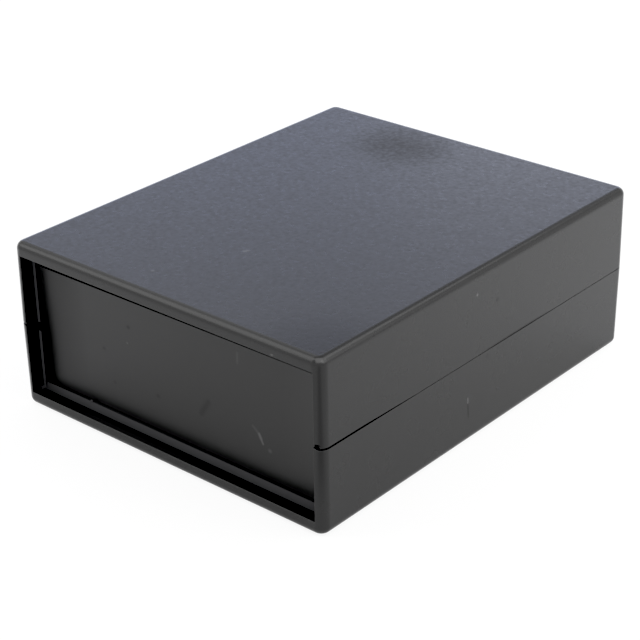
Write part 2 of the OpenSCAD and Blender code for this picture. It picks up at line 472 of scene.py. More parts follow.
class StageSettings(bpy.types.PropertyGroup):
    """Camera, floor and lights of the studio"""

    azimuth: FloatProperty(
        name="Azimuth",
        description="Direction of the camera round the case, from the front",
        default=math.radians(40.895),
        subtype="ANGLE",
    )
    elevation: FloatProperty(
        name="Elevation",
        description="Height of the camera above the horizon",
        default=math.radians(27.067),
        subtype="ANGLE",
    )
    roll: FloatProperty(
        name="Roll",
        description="Turn of the camera about its own axis",
        default=math.radians(-0.912),
        subtype="ANGLE",
    )
    distance: FloatProperty(
        name="Distance",
        description="Distance of the camera from the case's middle",
        default=509.6 * MM,
        unit="LENGTH",
    )
    shift_right: FloatProperty(
        name="Offset Right",
        description="How far right of the picture's middle the case's middle lies",
        default=2.695 * MM,
        unit="LENGTH",
    )
    shift_up: FloatProperty(
        name="Offset Up",
        description="How far above the picture's middle the case's middle lies",
        default=7.57 * MM,
        unit="LENGTH",
    )
    lens: FloatProperty(
        name="Lens",
        description="Focal length of the camera in millimetres",
        default=100.78,
        unit="CAMERA",
    )
    floor_size: FloatProperty(
        name="Floor Size",
        description="Side of the square floor",
        default=8,
        unit="LENGTH",
    )
    floor_gap: FloatProperty(
        name="Floor Gap",
        description="Distance of the floor below the underside",
        default=0.1 * MM,
        unit="LENGTH",
    )
    floor_tone: FloatProperty(
        name="Floor Tone",
        description="How pale the floor is behind the case",
        default=0.92,
        subtype="FACTOR",
    )
    # The floor before the case is painted darker than behind it, as painted shade.
    floor_front_painted_shade: FloatProperty(
        name="Front Floor Tone",
        description="How pale the floor is before the case",
        default=0.8,
        subtype="FACTOR",
    )
    # The dark strip on the floor before the case is painted shadow, seen only in reflections.
    floor_painted_shadow_tone: FloatProperty(
        name="Near Floor Tone",
        description="How pale the floor is towards the camera, as the case reflects it",
        default=0.45,
        subtype="FACTOR",
    )
    floor_glow: FloatProperty(
        name="Floor Glow",
        description="Light that the floor gives by itself",
        default=0.25,
    )
    floor_white: FloatProperty(
        name="Floor White",
        description="How far the picture shows the floor as plain white, without its shadows",
        default=0.85,
        subtype="FACTOR",
    )
    surround: FloatProperty(
        name="Surround",
        description="Brightness of the white surround at the horizon",
        default=1.22,
    )
    ceiling: FloatProperty(
        name="Ceiling",
        description="Brightness of the surround overhead",
        default=0.78,
    )
    black_level: FloatProperty(
        name="Black Level",
        description="Brightness below which the picture is black",
        default=0.011,
    )


def node(tree, kind, inputs=None, **options):
    """Adds a node, sets its options, and fills or links its inputs by name or index."""
    made = tree.nodes.new(kind)
    for name, value in options.items():
        setattr(made, name, value)
    for key, value in (inputs or {}).items():
        if isinstance(value, bpy.types.NodeSocket):
            tree.links.new(value, made.inputs[key])
        else:
            made.inputs[key].default_value = value
    return made


def maths(tree, operation, first, second=0.0, clamp=False):
    """Result of one sum on two values."""
    inputs = {0: first, 1: second}
    return node(tree, "ShaderNodeMath", inputs, operation=operation, use_clamp=clamp).outputs[0]


def vectors(tree, operation, first, second):
    """Node that works out one sum on two vectors."""
    return node(tree, "ShaderNodeVectorMath", {0: first, 1: second}, operation=operation)


def spread(tree, value, low, high, to_low=0.0, to_high=1.0, smooth=False, clamp=True):
    """Value moved from one range to another."""
    inputs = {"Value": value, "From Min": low, "From Max": high, "To Min": to_low, "To Max": to_high}
    kind = "SMOOTHSTEP" if smooth else "LINEAR"
    return node(tree, "ShaderNodeMapRange", inputs, interpolation_type=kind, clamp=clamp).outputs[0]


def blended(tree, mask, first, second):
    """Colour that goes from the first to the second with a mask."""
    return node(tree, "ShaderNodeMix", {0: mask, 6: first, 7: second}, data_type="RGBA").outputs[2]


def new_group(name, inputs, outputs):
    """Empty shader node group with its sockets, its input node and its output node."""
    tree = bpy.data.node_groups.new(name, "ShaderNodeTree")
    for socket_name, kind, default in inputs:
        socket = tree.interface.new_socket(socket_name, in_out="INPUT", socket_type=kind)
        socket.default_value = default
    for socket_name in outputs:
        tree.interface.new_socket(socket_name, in_out="OUTPUT", socket_type="NodeSocketFloat")
    return tree, node(tree, "NodeGroupInput").outputs, node(tree, "NodeGroupOutput").inputs


def moulding_group():
    """Group that gives the fine grain of a moulded face and the slow drift of its tone."""
    name = "Moulded Grain"
    if name in bpy.data.node_groups:
        return bpy.data.node_groups[name]
    sockets = (
        ("Position", "NodeSocketVector", (0, 0, 0)),
        ("Grain Size", "NodeSocketFloat", 0.5 * MM),
        ("Drift Size", "NodeSocketFloat", 20 * MM),
    )
    tree, given, result = new_group(name, sockets, ("Grain", "Drift"))
    for output, detail in (("Grain", GRAIN_DETAIL), ("Drift", DRIFT_DETAIL)):
        scale = maths(tree, "DIVIDE", 1.0, given[f"{output} Size"])
        inputs = {"Vector": given["Position"], "Scale": scale, "Detail": detail}
        noise = node(tree, "ShaderNodeTexNoise", inputs).outputs[0]
        tree.links.new(spread(tree, noise, NOISE_LOW, NOISE_HIGH, clamp=False), result[output])
    return tree


def mark_group():
    """Group that masks one mark: a line from start to end, or a dot where the two nearly meet."""
    name = "Handling Mark"
    if name in bpy.data.node_groups:
        return bpy.data.node_groups[name]
    sockets = (
        ("Position", "NodeSocketVector", (0, 0, 0)),
        ("Start", "NodeSocketVector", (0, 0, 0)),
        ("End", "NodeSocketVector", (0, 0, 0)),
        ("Half Width", "NodeSocketFloat", 0.2 * MM),
        ("Strength", "NodeSocketFloat", 1.0),
    )
    tree, given, result = new_group(name, sockets, ("Mask",))
    along = vectors(tree, "SUBTRACT", given["End"], given["Start"]).outputs[0]
    offset = vectors(tree, "SUBTRACT", given["Position"], given["Start"]).outputs[0]
    reach = vectors(tree, "DOT_PRODUCT", offset, along).outputs["Value"]
    length = vectors(tree, "DOT_PRODUCT", along, along).outputs["Value"]
    share = maths(tree, "DIVIDE", reach, length, clamp=True)
    inputs = {0: along, "Scale": share}
    nearest = node(tree, "ShaderNodeVectorMath", inputs, operation="SCALE").outputs[0]
    distance = vectors(tree, "DISTANCE", offset, nearest).outputs["Value"]
    mask = spread(tree, distance, 0.0, given["Half Width"], given["Strength"], 0.0, smooth=True)
    tree.links.new(mask, result["Mask"])
    return tree


def marks(tree, position, listed):
    """One mask for all the marks in a list of start, end, half width and strength, in millimetres."""
    total = None
    for start, end, half_width, strength in listed:
        inputs = {
            "Position": position,
            "Start": Vector(start) * MM,
            "End": Vector(end) * MM,
            "Half Width": half_width * MM,
            "Strength": strength,
        }
        mask = node(tree, "ShaderNodeGroup", inputs, node_tree=mark_group()).outputs["Mask"]
        total = mask if total is None else maths(tree, "MAXIMUM", total, mask)
    return total


def on_panel(x, z):
    """Point of the front panel's face, in millimetres."""
    return (x, PANEL_LOW.y / MM, z)


def on_side(y, z):
    """Point of the right wall's face, in millimetres."""
    return (CAD_HIGH.x / MM - WALL_LEAN, y, z)


def on_roof(x, y):
    """Point of the roof's face, in millimetres."""
    return (x, y, CAD_HIGH.z / MM)


def along_seam(first_y, last_y, strength):
    """Band along the right wall's seam whose shine is taken off, in millimetres."""
    return (on_side(first_y, SEAM_MARK_Z), on_side(last_y, SEAM_MARK_Z), SEAM_MARK_HALF_WIDTH, strength)


# Marks: start, end, half width and strength, in millimetres. Most are marks of handling; the roof's wide
# dull patch is painted shade, and the bands along the right wall's seam take the shine off there.
WALL_SCUFFS = (
    (on_side(-5, 43.5), on_side(-5, 43.3), 0.6, 0.2),
    (on_side(-8.1, 13.9), on_side(-8, 12.4), 0.55, 0.15),
    (on_side(3.2, 11.5), on_side(3.2, 11.2), 0.5, 0.04),
    ((39.4, -67.9, 46.75), (39.6, -67.9, 46.75), 0.5, 0.15),
)
WALL_DULL_MARKS = (
    (on_side(-8, 12), on_side(-7.6, 8), 0.6, 0.4),
    (on_side(4, 38.5), on_side(4.2, 38.5), 1, 0.3),
    (on_side(0.2, 23.2), on_side(0.4, 23.2), 0.9, 0.25),
    # Bands along the seam take off the wall's shine, most between 10 and 22 mm behind the middle.
    along_seam(-3, 31, 0.2),
    along_seam(0, 28, 0.4),
    along_seam(4, 25, 0.6),
    along_seam(10, 22, 0.75),
)
ROOF_SCUFFS = (
    (on_roof(-11.5, -57.3), on_roof(-11.4, -57.2), 0.75, 0.15),
    (on_roof(-1, -33.5), on_roof(-0.5, -32.5), 0.75, 0.17),
)
# Wide dull patch towards the roof's near-right corner: painted shade, darkening the roof there.
ROOF_PAINTED_SHADE = ((on_roof(50, -62), on_roof(51, -61), 24, 0.3),)
ROOF_ROUGH_MARKS = ((on_roof(-18, 52), on_roof(-13, 51), 20, 0.15),)
PANEL_SCUFFS = (
    (on_panel(26.3, 19.1), on_panel(28.3, 17.5), 0.7, 0.05),
    (on_panel(28.3, 17.5), on_panel(29, 16.2), 0.8, 0.15),
    (on_panel(29, 16.2), on_panel(29.6, 15), 0.55, 0.15),
    (on_panel(31.9, 13.8), on_panel(32, 13.8), 0.95, 0.08),
    (on_panel(-18.8, 28), on_panel(-18.6, 28), 0.5, 0.1),
    (on_panel(21.7, 38.6), on_panel(21.6, 35.7), 0.6, 0.05),
)
PANEL_DULL_MARKS = (
    (on_panel(-18, 33), on_panel(-17.8, 33), 0.9, 0.4),
    (on_panel(-24.8, 14), on_panel(-24.6, 14), 0.9, 0.2),
    (on_panel(-8.1, 15.6), on_panel(-7.9, 15.6), 1.1, 0.25),
    (on_panel(-28.2, 23.3), on_panel(-28, 23.3), 0.9, 0.25),
    (on_panel(10.7, 20.4), on_panel(8, 16.2), 1.5, 0.2),
)


def opaque(colour):
    """Colour with full opacity."""
    return (*colour, 1.0)


def new_material(name):
    """Material with its node tree, its shader and the object's own coordinates."""
    material = bpy.data.materials.new(name)
    material.use_nodes = True
    tree = material.node_tree
    position = node(tree, "ShaderNodeTexCoord").outputs["Object"]
    return material, tree, tree.nodes["Principled BSDF"], position


class Finish(NamedTuple):
    """Material in the making: its nodes, its shader, the object's own coordinates and its grain."""

    material: bpy.types.Material
    tree: bpy.types.NodeTree
    shader: bpy.types.Node
    position: bpy.types.NodeSocket
    grain: bpy.types.NodeSocket


def moulded(name, surface, colour, roughness, leader="Drift"):
    """Finish whose colour and roughness follow its drift or its grain."""
    material, tree, shader, position = new_material(name)
    inputs = {"Position": position, "Grain Size": surface.grain, "Drift Size": surface.drift}
    outputs = node(tree, "ShaderNodeGroup", inputs, node_tree=moulding_group()).outputs
    low, high = (opaque(Vector(colour) * tone) for tone in surface.tones)
    tree.links.new(blended(tree, outputs[leader], low, high), shader.inputs["Base Color"])
    smooth, rough = roughness - surface.swing, roughness + surface.swing
    tree.links.new(spread(tree, outputs[leader], 0.0, 1.0, smooth, rough), shader.inputs["Roughness"])
    return Finish(material, tree, shader, position, outputs["Grain"])


def emboss(finish, depth, under=None):
    """Gives a finish the relief of its grain, over another relief where there is one."""
    inputs = {"Height": finish.grain, "Distance": depth}
    if under is not None:
        inputs["Normal"] = under
    bump = node(finish.tree, "ShaderNodeBump", inputs)
    finish.tree.links.new(bump.outputs["Normal"], finish.shader.inputs["Normal"])


def scuff(finish, pale_marks, dull_marks):
    """Lightens a finish's colour under its pale marks, and takes the shine off under its dull ones."""
    tree, inputs = finish.tree, finish.shader.inputs
    base = inputs["Base Color"].links[0].from_socket
    pale = marks(tree, finish.position, pale_marks)
    tree.links.new(blended(tree, pale, base, opaque(SCUFF_COLOUR)), inputs["Base Color"])
    tree.links.new(marks(tree, finish.position, dull_marks), inputs["Metallic"])


def wall_finish(settings):
    """Satin plastic of the walls, the edges and the bezels."""
    finish = moulded("Satin shell plastic", WALL_SURFACE, settings.colour, settings.wall_roughness)
    emboss(finish, FINE_GRAIN_DEPTH)
    scuff(finish, WALL_SCUFFS, WALL_DULL_MARKS)
    return finish.material


def roof_finish(settings):
    """Grained plastic of the roof and the underside."""
    surface = ROOF_SURFACE._replace(grain=settings.grain_size)
    finish = moulded("Grained shell plastic", surface, settings.colour, settings.roof_roughness, "Grain")
    tree, roughness = finish.tree, finish.shader.inputs["Roughness"]
    base = roughness.links[0].from_socket
    smudges = marks(tree, finish.position, ROOF_ROUGH_MARKS)
    tree.links.new(maths(tree, "ADD", base, smudges), roughness)
    emboss(finish, settings.grain_depth)
    # The roof takes its pale scuffs, and painted shade towards its near-right corner.
    scuff(finish, ROOF_SCUFFS, ROOF_PAINTED_SHADE)
    return finish.material


def inner_finish(settings):
    """Smooth plastic of the shells' inside and of the bezels' inner edges."""
    finish = moulded("Smooth shell plastic", INNER_SURFACE, settings.colour, settings.inner_roughness)
    finish.shader.inputs["Specular IOR Level"].default_value = INNER_SPECULAR
    return finish.material


def rib_painted_light_finish(settings):
    """Plastic of the ribs' outer faces: matt, and painted paler than the rest of the inside as painted
    light, the side ribs paler still.
    """
    finish = moulded("Rib plastic with painted light", RIB_SURFACE, settings.rib_colour, settings.rib_roughness)
    tree, colour = finish.tree, finish.shader.inputs["Base Color"]
    level = colour.links[0].from_socket
    place = node(tree, "ShaderNodeSeparateXYZ", {0: finish.position}).outputs
    # The side ribs are painted paler still: painted light where the bezels shade them.
    upright = spread(tree, maths(tree, "ABSOLUTE", place["X"]), SIDE_RIB_LOW, SIDE_RIB_HIGH)
    pale = opaque(Vector(settings.rib_colour) * SIDE_RIB_PAINTED_LIGHT)
    tree.links.new(blended(tree, upright, level, pale), colour)
    return finish.material


def panel_finish(settings):
    """Smooth satin plastic of the end panels, whose sheen bends a little near the foot and the ends."""
    finish = moulded("Panel plastic", PANEL_SURFACE, settings.colour, settings.roughness)
    tree = finish.tree
    place = node(tree, "ShaderNodeSeparateXYZ", {0: finish.position}).outputs

    def curve(axis, start, end):
        return maths(tree, "POWER", spread(tree, place[axis], start, end), 2.0)

    right = curve("X", PANEL_HIGH.x - settings.bend_reach, PANEL_HIGH.x)
    foot = curve("Z", PANEL_LOW.z + settings.bend_reach, PANEL_LOW.z)
    left = curve("X", PANEL_LOW.x + settings.left_reach, PANEL_LOW.x)
    left_rise = spread(
        tree, place["Z"], PANEL_LOW.z, PANEL_HIGH.z, settings.left_foot_rise, settings.left_top_rise)
    height = maths(
        tree, "ADD",
        maths(tree, "MULTIPLY", maths(tree, "ADD", right, foot), settings.bend_rise),
        maths(tree, "MULTIPLY", left, left_rise),
    )
    bend = node(tree, "ShaderNodeBump", {"Height": height, "Distance": 1.0})
    emboss(finish, FINE_GRAIN_DEPTH, bend.outputs["Normal"])
    scuff(finish, PANEL_SCUFFS, PANEL_DULL_MARKS)
    return finish.material


def screw_finish(settings):
    """Zinc-plated steel of the case screws."""
    finish = moulded("Plated steel", STEEL_SURFACE, settings.colour, settings.roughness)
    finish.shader.inputs["Metallic"].default_value = 1.0
    return finish.material


def merged_copy(node_name):
    """Copy of a solid's mesh with its triangles merged and its flat faces joined."""
    shape = bmesh.new()
    shape.from_mesh(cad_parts[node_name].data)
    bmesh.ops.remove_doubles(shape, verts=shape.verts, dist=MERGE_DISTANCE)
    bmesh.ops.dissolve_limit(shape, angle_limit=FLAT_ANGLE, verts=shape.verts, edges=shape.edges)
    if any(len(edge.link_faces) != 2 for edge in shape.edges):
        raise RuntimeError(f"the copy of {node_name} isn't closed")
    return shape


def finished_mesh(piece):
    """Plain mesh of a piece with its modifiers applied and removed."""
    evaluated = piece.evaluated_get(bpy.context.evaluated_depsgraph_get())
    mesh = bpy.data.meshes.new_from_object(evaluated)
    piece.modifiers.clear()
    piece.data = mesh
    return mesh


def sharpen(mesh):
    """Shades a mesh smooth, apart from the edges whose faces meet at a wide angle."""
    shape = bmesh.new()
    shape.from_mesh(mesh)
    for face in shape.faces:
        face.smooth = True
    for edge in shape.edges:
        edge.smooth = edge.is_manifold and edge.calc_face_angle() < SMOOTH_ANGLE
    shape.to_mesh(mesh)
    shape.free()


def rounded_piece(node_name, radius_of, segments, reshape=None, settle=None):
    """Piece that stands for a solid: reshaped, sharp edges rounded by radius_of(edge), then settled."""
    name = node_name.replace("_", ".")
    shape = merged_copy(node_name)
    if reshape:
        reshape(shape)
    weight = shape.edges.layers.float.new("bevel_weight_edge")
    radii = {}
    for edge in shape.edges:
        if edge.is_convex and edge.calc_face_angle() > SHARP_ANGLE:
            radii[edge] = radius_of(edge)
    largest = max(radii.values())
    for edge, radius in radii.items():
        edge[weight] = radius / largest
    mesh = bpy.data.meshes.new(name)
    shape.to_mesh(mesh)
    shape.free()
    piece = bpy.data.objects.new(name, mesh)
    bpy.context.scene.collection.objects.link(piece)
    bevel = piece.modifiers.new("Rounded edges", "BEVEL")
    bevel.limit_method = "WEIGHT"
    bevel.width = largest
    bevel.segments = segments
    bevel.use_clamp_overlap = True
    rounded = finished_mesh(piece)
    if settle:
        settle(rounded)
    sharpen(rounded)
    normals = piece.modifiers.new("Flat faces stay flat", "WEIGHTED_NORMAL")
    normals.keep_sharp = True
    finished_mesh(piece)
    return piece


def is_rib_end(place):
    """Whether a point lies on the end of a side rib, at the gap that the seam leaves there."""
    beside = RIB_FOOT_X - RIB_REACH < abs(place.x) < RIB_FOOT_X + PLATE_BAND
    behind = any(first < abs(place.y) < last for first, last in RIB_SPANS)
    return beside and behind and RIB_END_LOW < abs(place.z - SEAM_Z) < RIB_END_HIGH


def looks_out(normal, place):
    """Whether a face looks towards the case's nearer end."""
    return normal.y * place.y > FACING_OUT * abs(place.y)


def climb_at(aside, edge):
    """Rise of one edge of the seam at a distance from the case's middle."""
    for (first, *first_rises), (last, *last_rises) in zip(SEAM_CLIMB, SEAM_CLIMB[1:]):
        if first <= aside <= last:
            share = (aside - first) / (last - first)
            return first_rises[edge] + share * (last_rises[edge] - first_rises[edge])
    return 0.0


def climb_seam(mesh, base_z, edge):
    """Moves a shell's edge at the seam, which lies at base_z, where it crosses the bezels."""
    for vertex in mesh.vertices:
        place = vertex.co
        in_bezel = SEAM_CLIMB[0][0] < abs(place.x) < SEAM_CLIMB[-1][0]
        past_tongue = abs(place.y) > TONGUE_Y - MERGE_DISTANCE
        if in_bezel and past_tongue and abs(place.z - base_z) < CLIMB_BAND:
            place.z += climb_at(place.x, edge) if place.x > 0 else LEFT_SEAM_RISES[edge]


def add_block(shape, low, high, outer_finish, other_finish):
    """Adds an upright block, with one finish on the face towards its end and another on the rest."""
    low, high = Vector(low), Vector(high)
    size = Matrix.Diagonal([abs(value) for value in high - low]).to_4x4()
    made = bmesh.ops.create_cube(shape, size=1, matrix=Matrix.Translation((low + high) / 2) @ size)
    for face in {face for vertex in made["verts"] for face in vertex.link_faces}:
        face.normal_update()
        face.material_index = outer_finish if looks_out(face.normal, low) else other_finish
    for edge in {edge for vertex in made["verts"] for edge in vertex.link_edges}:
        edge.smooth = False


def seat(piece, node_name):
    """Hands a finished piece to the frame in place of its solid."""
    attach(piece, BODY)
    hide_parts(node_name)


class ENCLOSURE_OT_shells(bpy.types.Operator):
    """Round the outer edges of both half shells and give them their finishes"""

    bl_idname = "enclosure.shells"
    bl_label = "Half Shells"

    def execute(self, context):
        settings = context.scene.enclosure_shells

        def radius_of(edge):
            first, last = (vertex.co for vertex in edge.verts)
            middle = (first + last) / 2
            upright = abs(last.z - first.z) > UPRIGHT * (last - first).length
            at_end = END_Y - abs(middle.y) < LIP_BAND
            at_rim = abs(middle.z - SEAM_Z) < RIM_BAND and CAD_HIGH.x - abs(middle.x) < RIM_WIDTH
            if at_end and (upright or not at_rim):
                return settings.lip_edge_r
            if at_rim:
                return settings.rim_edge_r
            return settings.hole_edge_r if middle.z < PLATE_BAND else 0.0

        def finish_of(face):
            place, facing = face.center, face.normal
            from_plate = min(place.z - CAD_LOW.z, CAD_HIGH.z - place.z)
            on_plate = from_plate < SKIN_BAND and facing.z * (place.z - MIDDLE_Z) > 0
            on_wall = CAD_HIGH.x - abs(place.x) < SKIN_BAND and facing.x * place.x > 0
            faces_end = looks_out(facing, place)
            from_end = END_Y - abs(place.y)
            if on_plate and abs(facing.z) > LEVEL:
                return ROOF_FINISH
            if on_plate or on_wall or (faces_end and from_end < LIP_BAND):
                return WALL_FINISH
            # Faces of the ribs towards the opening take the paler rib finish, painted light.
            return RIB_PAINTED_LIGHT_FINISH if faces_end and from_end > SKIN_BAND else INNER_FINISH

        def drop_ribs(shape):
            for vertex in shape.verts:
                if is_rib_end(vertex.co):
                    vertex.co.z -= settings.rib_drop

        def settle_lower(mesh):
            climb_seam(mesh, SEAM_Z, LOWER_EDGE)

        def settle_upper(mesh):
            climb_seam(mesh, SEAM_Z + UPPER_LIP_RISE, UPPER_EDGE)

        finishes = [make(settings) for make in (wall_finish, roof_finish, inner_finish, rib_painted_light_finish)]
        for node_name, reshape, settle in (
            ("lower_shell", drop_ribs, settle_lower),
            ("upper_shell", None, settle_upper),
        ):
            shell = rounded_piece(node_name, radius_of, settings.edge_segments, reshape, settle)
            for finish in finishes:
                shell.data.materials.append(finish)
            for face in shell.data.polygons:
                face.material_index = finish_of(face)
            shape = bmesh.new()
            shape.from_mesh(shell.data)
            if node_name == "lower_shell":
                self.add_nub(shape, settings)
                self.add_corner_forms(shape)
            else:
                self.add_rib_ends(shape, settings)
            shape.to_mesh(shell.data)
            shape.free()
            seat(shell, node_name)
        return {"FINISHED"}

    @staticmethod
    def add_nub(shape, settings):
        """Adds the small nub that stands on the front rail's edge."""
        place = Matrix.Translation(settings.nub_place)
        made = bmesh.ops.create_uvsphere(
            shape, u_segments=NUB_SEGMENTS, v_segments=NUB_RINGS, radius=settings.nub_r, matrix=place)
        for face in {face for vertex in made["verts"] for face in vertex.link_faces}:
            face.smooth = True
            # The nub takes the paler rib finish, painted light.
            face.material_index = RIB_PAINTED_LIGHT_FINISH

    @staticmethod
    def add_corner_forms(shape):
        """Adds the small forms beside the tongue and before the rails' ends, at all four corners."""
        for side in (-1, 1):
            for end in (-1, 1):
                for *corners, finish in CORNER_FORMS:
                    low, high = ((side * x, end * y, z) for x, y, z in corners)
                    add_block(shape, low, high, finish, finish)

    @staticmethod
    def add_rib_ends(shape, settings):
        """Lengthens the upper shell's side ribs down to the gap in the ribs."""
        places = [vertex.co.copy() for vertex in shape.verts if is_rib_end(vertex.co)]
        for side in (-1, 1):
            for end in (-1, 1):
                for first, last in RIB_SPANS:
                    spot = [co for co in places if co.x * side > 0 and first < co.y * end < last]
                    if not spot:
                        raise RuntimeError("a side rib's end wasn't found")
                    low = [min(co[axis] for co in spot) for axis in range(3)]
                    high = [max(co[axis] for co in spot) for axis in range(3)]
                    low[2] -= settings.rib_drop
                    if side > 0:
                        high[0] -= RIB_PLAY
                    else:
                        low[0] += RIB_PLAY
                    # The face towards the opening takes the paler rib finish, painted light.
                    add_block(shape, low, high, RIB_PAINTED_LIGHT_FINISH, INNER_FINISH)


class ENCLOSURE_OT_panels(bpy.types.Operator):
    """Round the edges of both end panels and give them their finish"""

    bl_idname = "enclosure.panels"
    bl_label = "End Panels"

    def execute(self, context):
        settings = context.scene.enclosure_panels

        def radius_of(_):
            return settings.edge_r

        def lean_step(shape):
            outer = [vertex.co for vertex in shape.verts if vertex.co.y - PANEL_LOW.y < MERGE_DISTANCE]
            step_z = max(place.z for place in outer)
            for vertex in shape.verts:
                if abs(vertex.co.z - step_z) < MERGE_DISTANCE:
                    share = (vertex.co.x - PANEL_LOW.x) / (PANEL_HIGH.x - PANEL_LOW.x)
                    vertex.co.z += settings.step_rise + share * settings.step_lean

        finish = panel_finish(settings)
        for node_name, reshape in (("front_panel", lean_step), ("rear_panel", None)):
            panel = rounded_piece(node_name, radius_of, settings.edge_segments, reshape)
            panel.data.materials.append(finish)
            seat(panel, node_name)
        return {"FINISHED"}


def screw_tree(sizes):
    """Node tree that makes one screw from sizes of these names and sets four of them in the towers."""
    tree = bpy.data.node_groups.new("Case Screws", "GeometryNodeTree")
    for size in sizes:
        tree.interface.new_socket(size, in_out="INPUT", socket_type="NodeSocketFloat")
    tree.interface.new_socket("Seed", in_out="INPUT", socket_type="NodeSocketInt")
    tree.interface.new_socket("Finish", in_out="INPUT", socket_type="NodeSocketMaterial")
    tree.interface.new_socket("Geometry", in_out="OUTPUT", socket_type="NodeSocketGeometry")
    given = node(tree, "NodeGroupInput").outputs
    result = node(tree, "NodeGroupOutput").inputs

    def made(kind, inputs, **options):
        return node(tree, kind, inputs, **options).outputs[0]

    def moved(geometry, height):
        place = made("ShaderNodeCombineXYZ", {"Z": height})
        return made("GeometryNodeTransform", {"Geometry": geometry, "Translation": place})

    def joined(operation, first, others):
        boolean = node(tree, "GeometryNodeMeshBoolean", operation=operation, solver="EXACT")
        if operation == "DIFFERENCE":
            tree.links.new(first, boolean.inputs["Mesh 1"])
        else:
            others = [first, *others]
        for other in others:
            tree.links.new(other, boolean.inputs["Mesh 2"])
        return boolean.outputs["Mesh"]

    def times(value, factor):
        return maths(tree, "MULTIPLY", value, factor)

    head_r, head_h, core_r = given["Head Radius"], given["Head Height"], given["Core Radius"]
    head = made("GeometryNodeMeshCylinder", {"Vertices": HEAD_SIDES, "Radius": head_r, "Depth": head_h})
    head = moved(head, times(head_h, -0.5))
    squares = [maths(tree, "POWER", value, 2.0) for value in (head_r, times(head_h, 0.5))]
    crown_r = maths(tree, "DIVIDE", maths(tree, "ADD", *squares), head_h)
    crown = made("GeometryNodeMeshUVSphere", {
        "Segments": HEAD_SIDES, "Rings": CROWN_RINGS, "Radius": crown_r})
    crown = moved(crown, maths(tree, "SUBTRACT", crown_r, head_h))
    head = joined("INTERSECT", head, [crown])
    slot_h = times(given["Recess Depth"], 2.0)
    slots = []
    for x, y in (("Recess Span", "Recess Width"), ("Recess Width", "Recess Span")):
        size = made("ShaderNodeCombineXYZ", {"X": given[x], "Y": given[y], "Z": slot_h})
        slots.append(moved(made("GeometryNodeMeshCube", {"Size": size}), times(head_h, -1.0)))
    head = joined("DIFFERENCE", head, slots)
    straight = maths(tree, "SUBTRACT", given["Shank Length"], given["Point Length"])
    shank = made("GeometryNodeMeshCylinder", {
        "Vertices": SHANK_SIDES, "Radius": core_r, "Depth": straight})
    shank = moved(shank, times(straight, 0.5))
    point = made("GeometryNodeMeshCone", {
        "Vertices": SHANK_SIDES, "Radius Top": 0.0, "Radius Bottom": core_r,
        "Depth": given["Point Length"]})
    point = moved(point, straight)
    turns = maths(tree, "DIVIDE", straight, given["Pitch"])
    spiral = made("GeometryNodeCurveSpiral", {
        "Resolution": TURN_POINTS, "Rotations": turns,
        "Start Radius": core_r, "End Radius": core_r, "Height": straight})
    thread_h = maths(tree, "SUBTRACT", given["Thread Radius"], core_r)
    ridge = made("GeometryNodeCurvePrimitiveCircle", {"Resolution": RIDGE_SIDES, "Radius": thread_h})
    thread = made("GeometryNodeCurveToMesh", {"Curve": spiral, "Profile Curve": ridge, "Fill Caps": True})
    screw = joined("UNION", head, [shank, point, thread])
    grid = made("GeometryNodeMeshGrid", {
        "Size X": given["Spacing X"], "Size Y": given["Spacing Y"], "Vertices X": 2, "Vertices Y": 2})
    limits = {"Min": (0, 0, 0), "Max": (0, 0, math.pi), "Seed": given["Seed"]}
    turn = made("FunctionNodeRandomValue", limits, data_type="FLOAT_VECTOR")
    placed = made("GeometryNodeInstanceOnPoints", {
        "Points": moved(grid, given["Seat Height"]), "Instance": screw, "Rotation": turn})
    real = made("GeometryNodeRealizeInstances", {"Geometry": placed})
    dressed = made("GeometryNodeSetMaterial", {"Geometry": real, "Material": given["Finish"]})
    tree.links.new(dressed, result["Geometry"])
    return tree


class ENCLOSURE_OT_screws(bpy.types.Operator):
    """Set the four threaded case screws in their towers"""

    bl_idname = "enclosure.screws"
    bl_label = "Case Screws"

    def execute(self, context):
        settings = context.scene.enclosure_screws
        head_r = settings.head_d / 2
        seat_z = SCREW_LOW.z + settings.head_h
        sizes = {
            "Head Radius": head_r,
            "Head Height": settings.head_h,
            "Thread Radius": settings.thread_d / 2,
            "Core Radius": settings.core_d / 2,
            "Pitch": settings.pitch,
            "Shank Length": SCREW_HIGH.z - seat_z,
            "Point Length": settings.point_l,
            "Recess Span": settings.recess_l,
            "Recess Width": settings.recess_w,
            "Recess Depth": settings.recess_depth,
            "Spacing X": 2 * (SCREW_HIGH.x - head_r),
            "Spacing Y": 2 * (SCREW_HIGH.y - head_r),
            "Seat Height": seat_z,
        }
        values = {**sizes, "Seed": settings.seed, "Finish": screw_finish(settings)}
        tree = screw_tree(sizes)
        screws = bpy.data.objects.new("case.screws", bpy.data.meshes.new("case.screws"))
        context.scene.collection.objects.link(screws)
        modifier = screws.modifiers.new("Case screws", "NODES")
        modifier.node_group = tree
        for socket in tree.interface.items_tree:
            if socket.in_out == "INPUT":
                modifier[socket.identifier] = values[socket.name]
        mesh = finished_mesh(screws)
        if not mesh.polygons:
            raise RuntimeError("the case screws came out empty")
        sharpen(mesh)
        seat(screws, "case_screws")
        return {"FINISHED"}


def outward(azimuth, elevation):
    """Direction from the case, by its angles round the case and above the horizon."""
    flat = math.cos(elevation)
    return Vector((math.sin(azimuth) * flat, -math.cos(azimuth) * flat, math.sin(elevation)))


